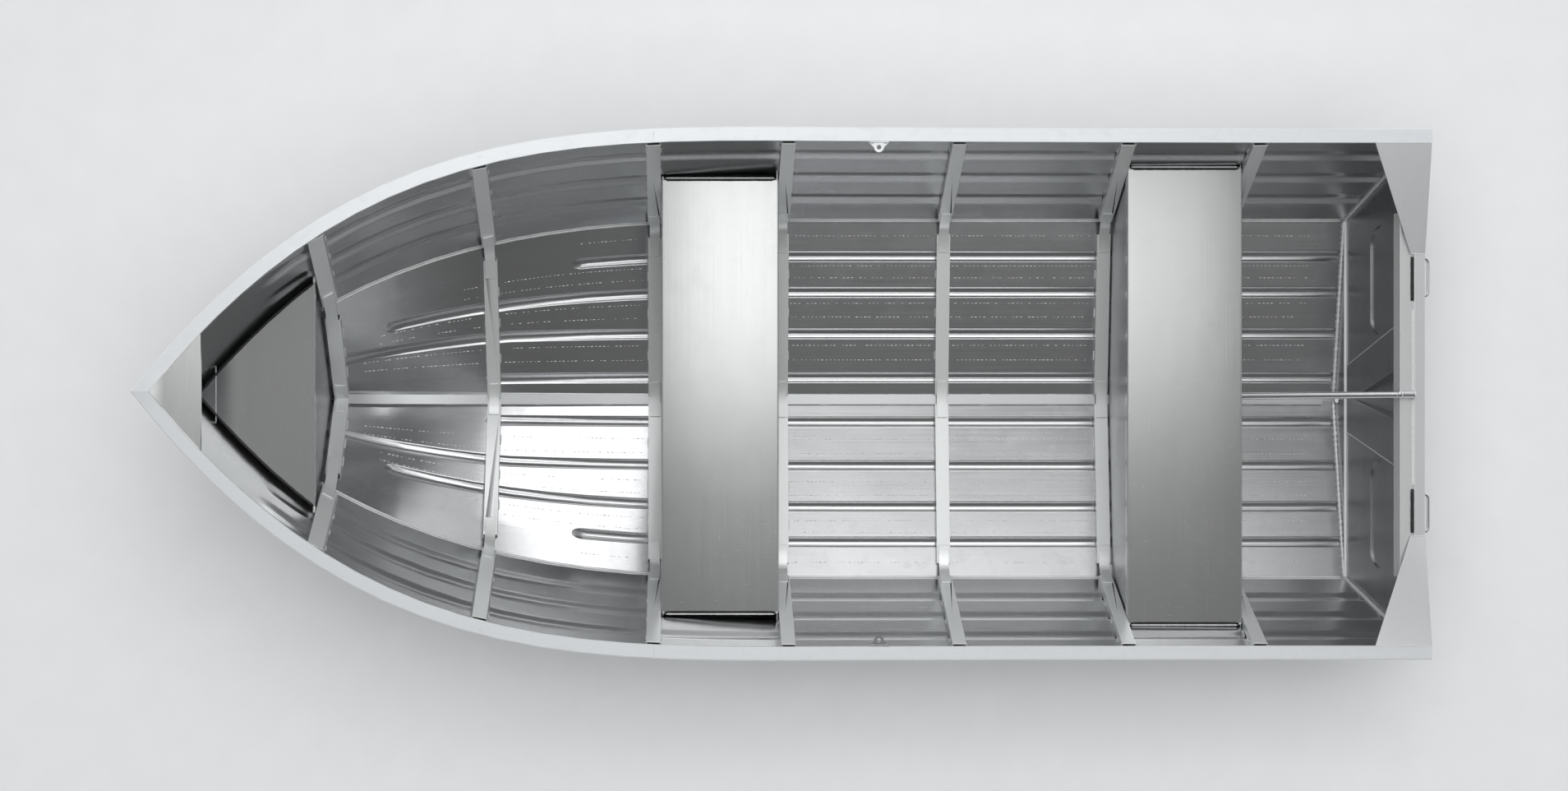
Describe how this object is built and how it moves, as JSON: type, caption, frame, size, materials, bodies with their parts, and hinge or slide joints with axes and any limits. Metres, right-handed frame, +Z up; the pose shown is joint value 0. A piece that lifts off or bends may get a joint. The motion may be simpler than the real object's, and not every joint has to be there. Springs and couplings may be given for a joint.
{
  "type": "aluminum boat",
  "caption": "Open welded aluminum boat with a vee bottom, pressed strakes, cross frames, a bow seat, box benches and a raked motor transom.",
  "frame": {"origin": "on the centreline at the empty waterline, below the middle of the open hull", "axes": "+X towards the bow, +Y to port, +Z up"},
  "size_m": [3.6831, 1.512, 0.7853],
  "materials": {
    "bottom_sheet": "mill finish, rolled sheet",
    "side_sheet": "mill finish, rolled sheet",
    "seat_sheet": "brushed sheet",
    "transom_sheet": "mill finish, pressed sheet",
    "extrusion": "extruded, satin",
    "gunwale": "extruded, satin anodised",
    "fittings": "polished rod"
  },
  "bodies": {
    "root": {"bottom_plate_port": "bottom_sheet", "bottom_plate_starboard": "bottom_sheet", "side_plate_port": "side_sheet", "side_plate_starboard": "side_sheet", "chine_rail_port": "extrusion", "chine_rail_starboard": "extrusion", "gunwale_aft_port": "gunwale", "gunwale_aft_starboard": "gunwale", "gunwale_bow_port": "gunwale", "gunwale_bow_starboard": "gunwale", "corner_gusset_port": "transom_sheet", "corner_gusset_starboard": "transom_sheet", "transom_knee_port": "transom_sheet", "transom_knee_starboard": "transom_sheet", "handle_port": "fittings", "handle_starboard": "fittings", "rowlock_socket_port": "fittings", "rowlock_socket_starboard": "fittings", "frame_1": "extrusion", "frame_2": "extrusion", "frame_3": "extrusion", "frame_4": "extrusion", "frame_5": "extrusion", "frame_6": "extrusion", "frame_7": "extrusion", "keel_bar": "extrusion", "keelson": "extrusion", "breasthook": "transom_sheet", "bow_eye": "fittings", "bow_seat": "seat_sheet", "bow_seat_riser": "seat_sheet", "fore_bench": "seat_sheet", "fore_bench_risers": "seat_sheet", "aft_bench": "seat_sheet", "aft_bench_risers": "seat_sheet", "transom_plate": "transom_sheet", "transom_doubler": "transom_sheet", "transom_beam": "transom_sheet", "motor_board": "transom_sheet", "transom_stay": "fittings", "drain_socket": "fittings"}
  },
  "joints": []
}
